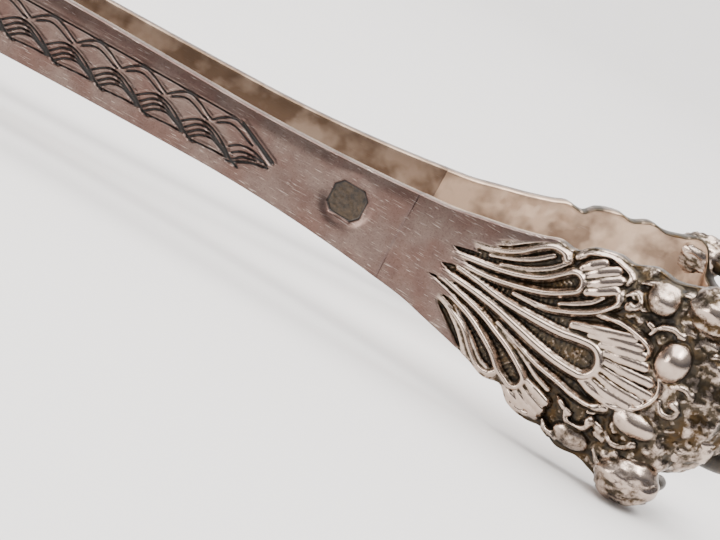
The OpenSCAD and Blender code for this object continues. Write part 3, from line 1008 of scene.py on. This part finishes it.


# %% [markdown]
# ## Cast and chased silver
# The claw was cast in sand and then chased and burnished. Outside the ornament, and on its inner
# side, it has the worn look of the strip. High spots are bright and nearly smooth;
# hollows keep an olive-brown tarnish with ochre patches, nearly black at the deepest, and the crease
# at the foot of each bead gets painted shade as well. The same value of grime and painted shade
# drives colour, metal and roughness, with noise at a third of a millimetre to break its edge so that
# it looks grown and not painted.

# %% Silver of the casting
def cast_silver():
    material, tree = fresh("cast_chased_silver")
    smooth, satin, height = polished(tree, "#DEC2A8", "#97806C")
    face = add(tree, "ShaderNodeAttribute", attribute_name="smooth_face").outputs["Fac"]
    inside = add(tree, "ShaderNodeAttribute", attribute_name="inside").outputs["Fac"]
    plain = add(tree, "ShaderNodeMath", {0: face, 1: inside}, operation="MAXIMUM")
    place_at = add(tree, "ShaderNodeTexCoord").outputs["Object"]
    # Tarnish and, in the creases at the feet of the beads, painted shade: it darkens the colour below.
    grime_and_shade = add(tree, "ShaderNodeAttribute", attribute_name="grime_and_shade").outputs["Fac"]
    patches = add(tree, "ShaderNodeTexNoise", {"Vector": place_at, "Scale": 420.0, "Detail": 4.0})
    mottle = add(tree, "ShaderNodeTexNoise", {
        "Vector": place_at, "Scale": 1500.0, "Detail": 6.0, "Roughness": 0.7})
    grain = add(tree, "ShaderNodeTexNoise", {
        "Vector": place_at, "Scale": 6500.0, "Detail": 3.0, "Roughness": 0.7})
    worn = add(tree, "ShaderNodeMapRange", {0: plain.outputs[0], 1: 0.0, 2: 1.0, 3: 1.0, 4: 0.2})
    shift = add(tree, "ShaderNodeMapRange", {0: mottle.outputs[0], 1: 0.3, 2: 0.7, 3: -0.22, 4: 0.22})
    level = add(tree, "ShaderNodeMath", {0: shift.outputs[0], 1: worn.outputs[0], 2: grime_and_shade},
                operation="MULTIPLY_ADD")
    dull = add(tree, "ShaderNodeMapRange", {0: level.outputs[0], 1: 0.14, 2: 0.42})
    dark = add(tree, "ShaderNodeMapRange", {0: level.outputs[0], 1: 0.55, 2: 0.9})
    ochre = add(tree, "ShaderNodeMapRange", {0: patches.outputs[0], 1: 0.48, 2: 0.62})
    burnished = add(tree, "ShaderNodeMix", {0: mottle.outputs[0], 6: tint("#CFBDAE"), 7: tint("#9C877A")},
                    data_type="RGBA")
    bright = add(tree, "ShaderNodeMix", {0: plain.outputs[0], 6: burnished.outputs[2], 7: smooth},
                 data_type="RGBA")
    olive = add(tree, "ShaderNodeMix", {0: ochre.outputs[0], 6: tint("#3D352A"), 7: tint("#42321D")},
                data_type="RGBA")
    half_dull = add(tree, "ShaderNodeMix", {0: dull.outputs[0], 6: bright.outputs[2], 7: olive.outputs[2]},
                    data_type="RGBA")
    colour = add(tree, "ShaderNodeMix", {0: dark.outputs[0], 6: half_dull.outputs[2], 7: tint("#15110E")},
                 data_type="RGBA")
    metal = add(tree, "ShaderNodeMapRange", {0: level.outputs[0], 1: 0.35, 2: 1.0, 3: 1.0, 4: 0.45})
    cast = add(tree, "ShaderNodeMapRange", {0: level.outputs[0], 1: 0.0, 2: 0.8, 3: 0.2, 4: 0.46})
    base = add(tree, "ShaderNodeMix", {0: plain.outputs[0], 2: cast.outputs[0], 3: satin})
    bump = add(tree, "ShaderNodeBump", {"Height": grain.outputs[0], "Strength": 0.35, "Distance": 0.00003})
    shader = add(tree, "ShaderNodeBsdfPrincipled", {
        "Base Color": colour.outputs[2], "Metallic": metal.outputs[0], "Roughness": base.outputs[0],
        "Normal": bump.outputs[0]})
    add(tree, "ShaderNodeOutputMaterial", {"Surface": shader.outputs[0]})
    return material


# %% [markdown]
# ## Hard silver solder
# Solder holds zinc and copper with its silver, so it tarnishes to a cooler, darker grey than the
# strip and keeps the faint ripples of the flame.

# %% Solder
def solder():
    material, tree = fresh("hard_silver_solder")
    smooth, satin, height = polished(tree, "#B39C88", "#75614F")
    colour = add(tree, "ShaderNodeMix", {0: 0.12, 6: smooth, 7: tint("#4F4D55")}, data_type="RGBA")
    bump = add(tree, "ShaderNodeBump", {"Height": height, "Strength": 0.35, "Distance": 0.00002})
    shader = add(tree, "ShaderNodeBsdfPrincipled", {
        "Base Color": colour.outputs[2], "Metallic": 1.0, "Roughness": satin, "Normal": bump.outputs[0]})
    add(tree, "ShaderNodeOutputMaterial", {"Surface": shader.outputs[0]})
    return material


SILVER, CASTING, SOLDER = strip_silver(), cast_silver(), solder()
for piece in (front_strip, rear_strip):
    piece.data.materials.append(SILVER)
for piece in (front_claw, rear_claw):
    piece.data.materials.append(CASTING)
for piece in (front_seam, rear_seam):
    piece.data.materials.append(SOLDER)
print("materials", [material.name for material in (SILVER, CASTING, SOLDER)])


# %% [markdown]
# ## Hanging the pieces on the frame
# Claws and seams ride on the front or the rear arm. The two halves of the strip stay where they
# were built, round the bow and along each arm. The parts of the frame that the new pieces stand
# for are hidden.

# %% Ride and replace
for strip, arm, side in ((front_strip, "front", -1), (rear_strip, "rear", 1)):
    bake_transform(strip)
for claw, seam, arm in ((front_claw, front_seam, "front"), (rear_claw, rear_seam, "rear")):
    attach(claw, arm)
    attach(seam, arm)
    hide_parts(f"{arm}_claw")
    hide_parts(f"{arm}_solder_seam")
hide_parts("front_arm", "spring_bow")
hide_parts("rear_arm")


# %% [markdown]
# ## Table and light
# The tongs lie on their side on a pale sheet that sweeps up behind them, so no horizon shows. Metal
# shows what stands round it: a broad soft light overhead draws the bright edge of the strip, a low
# panel at the left lights the far lip of the punched dish, and a small lamp in front at the right
# puts the highlights on the knuckles. A dimmer cool room all round keeps the rolled edges grey.

# %% Sweep, lights and world
def sweep():
    """A sheet that lies flat under the tongs and curves up far behind them."""
    radius, flat = 0.5, 0.9
    turns = np.linspace(0, math.pi / 2, 24)
    profile = [(-2.5, 0.0)] + [(flat + radius * math.sin(a), radius * (1 - math.cos(a))) for a in turns]
    profile.append((flat + radius, 2.5))
    points = np.array([(x, y, z) for x in (-3.0, 3.0) for y, z in profile]) / MM
    n = len(profile)
    faces = [[i, n + i, n + i + 1, i + 1] for i in range(n - 1)]
    made = mesh_object("pale_sweep", points, faces, {})
    material, tree = fresh("matt_pale_paper")
    at = add(tree, "ShaderNodeTexCoord").outputs["Object"]
    fibres = add(tree, "ShaderNodeTexNoise", {"Vector": at, "Scale": 35.0, "Detail": 3.0})
    colour = add(tree, "ShaderNodeMix", {0: fibres.outputs[0], 6: tint("#E2DFDD"), 7: tint("#DFDCDA")},
                 data_type="RGBA")
    shader = add(tree, "ShaderNodeBsdfPrincipled", {"Base Color": colour.outputs[2], "Roughness": 0.75})
    add(tree, "ShaderNodeOutputMaterial", {"Surface": shader.outputs[0]})
    made.data.materials.append(material)
    return made


def soft_light(name, where, aim, size, watts, colour):
    lamp = bpy.data.lights.new(name, "AREA")
    lamp.shape = "RECTANGLE"
    lamp.size, lamp.size_y = size
    lamp.energy = watts
    lamp.color = tint(colour)[:3]
    made = bpy.data.objects.new(name, lamp)
    made.location = where
    made.rotation_euler = (Vector(aim) - Vector(where)).to_track_quat("-Z", "Y").to_euler()
    bpy.context.scene.collection.objects.link(made)
    return made


floor = sweep()
soft_light("overhead", (0.0, 0.0, 1.5), (0.0, 0.0, 0), (2.2, 2.2), 95.0, "#FFFEFD")
soft_light("left", (-0.5, -0.32, 0.12), (0.03, 0, 0.01), (0.3, 0.26), 2.6, "#FFFAF4")
soft_light("key", (0.16, -0.16, 0.42), (0.04, 0, 0), (0.13, 0.13), 0.8, "#FFFBF6")

world = bpy.data.worlds.new("room")
bpy.context.scene.world = world
world.use_nodes = True
world.node_tree.nodes.clear()
room = world.node_tree
direction = add(room, "ShaderNodeSeparateXYZ", {0: add(room, "ShaderNodeTexCoord").outputs["Generated"]})
upward = add(room, "ShaderNodeMapRange", {0: direction.outputs[2], 1: 0.12, 2: 0.75},
             interpolation_type="SMOOTHSTEP")
sky = add(room, "ShaderNodeMix", {0: upward.outputs[0], 6: tint("#666B76"), 7: tint("#D8D9DC")},
          data_type="RGBA")
glow = add(room, "ShaderNodeBackground", {"Color": sky.outputs[2], "Strength": 0.9})
add(room, "ShaderNodeOutputWorld", {"Surface": glow.outputs[0]})


# %% [markdown]
# ## The camera
# A long lens close to the work, a little above the table and tilted on its side, as a jeweller
# would hold a camera over a detail. Its place is worked out from the spot that it looks at, the
# distance, and three angles.

# %% Camera
AIM = Vector((38.5, -12.0, 6.2)) * MM
DISTANCE = 146.8 * MM
ABOVE = math.radians(12.1)
ROUND = math.radians(2.95)
TILT = math.radians(28.06)

ahead = Vector((-math.sin(ROUND) * math.cos(ABOVE), math.cos(ROUND) * math.cos(ABOVE), -math.sin(ABOVE)))
level = ahead.cross(Vector((0, 0, 1))).normalized()
over = level.cross(ahead)
right = math.cos(TILT) * level + math.sin(TILT) * over
up = -math.sin(TILT) * level + math.cos(TILT) * over
lens = bpy.data.cameras.new("view")
lens.sensor_width = 36.0
lens.lens = 84.27
lens.clip_start = 0.01
lens.clip_end = 20.0
camera = bpy.data.objects.new("view", lens)
turn = Matrix((right, up, -ahead)).transposed()
camera.matrix_world = Matrix.Translation(AIM - ahead * DISTANCE) @ turn.to_4x4()
bpy.context.scene.collection.objects.link(camera)
bpy.context.scene.camera = camera
